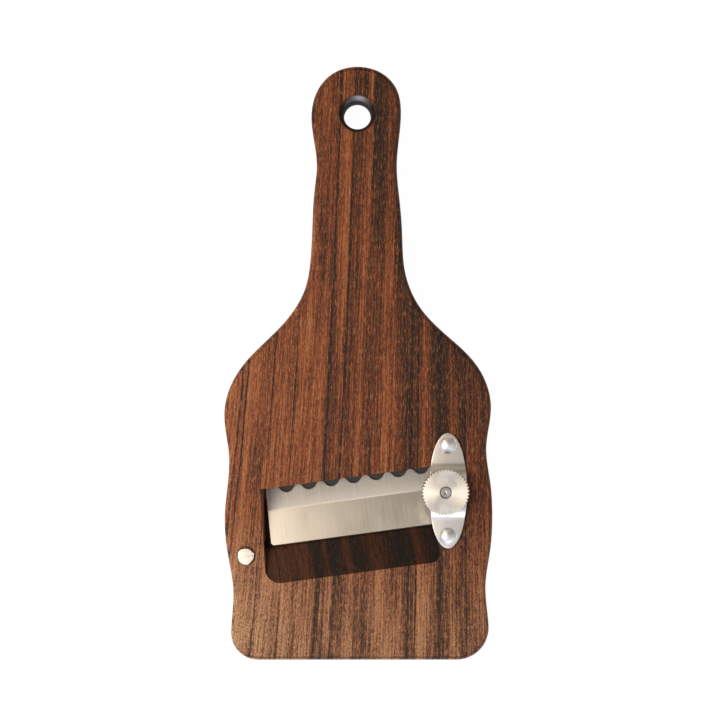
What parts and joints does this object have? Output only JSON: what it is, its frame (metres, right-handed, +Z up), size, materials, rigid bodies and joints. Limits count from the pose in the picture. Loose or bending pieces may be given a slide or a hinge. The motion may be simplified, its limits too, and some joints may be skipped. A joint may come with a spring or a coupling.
{
  "type": "truffle slicer",
  "caption": "Wooden hand slicer board with a sloping pocket, a wavy blade set by a knurled nut under a small bridge, and a handle with a hanging hole.",
  "frame": {"origin": "under the middle of the board's length and width, on the sole that the food slides over", "axes": "+Z up out of the face that holds the pocket, blade and nut; +Y towards the handle; +X towards the nut's side"},
  "size_m": [0.0995, 0.22, 0.0205],
  "materials": {
    "rosewood": "oiled, open grain",
    "blade_steel": "finely ground",
    "turned_steel": "turned",
    "spring_steel": "drawn wire",
    "bridge_steel": "pressed, satin",
    "rivet_steel": "polished",
    "nickel_screw": "nickel plated",
    "turned_nickel": "turned and knurled, nickel plated"
  },
  "bodies": {
    "root": {"board": "rosewood", "bridge": "bridge_steel", "upper_bridge_rivet": "rivet_steel", "lower_bridge_rivet": "rivet_steel", "tang_screw": "nickel_screw", "return_spring": "spring_steel"},
    "blade_unit": {"blade": "blade_steel", "blade_stud": "turned_steel"},
    "knob": {"adjuster_knob": "turned_nickel"}
  },
  "joints": [
    {"name": "knob_turn", "type": "hinge", "parent": "root", "child": "knob", "pos_m": [0.03191, -0.04705, 0.0182], "axis": [0, 0, 1], "range_deg": [-180, 540]},
    {"name": "blade_tilt", "type": "hinge", "parent": "root", "child": "blade_unit", "pos_m": [-0.04142, -0.07119, 0.00815], "axis": [-0.134, 0.991, 0], "range_deg": [-0.26, 0.79], "deforming": ["return_spring"]}
  ],
  "couplings": [
    {"joint": "blade_tilt", "follows": "knob_turn", "ratio": 0.0014678}
  ]
}
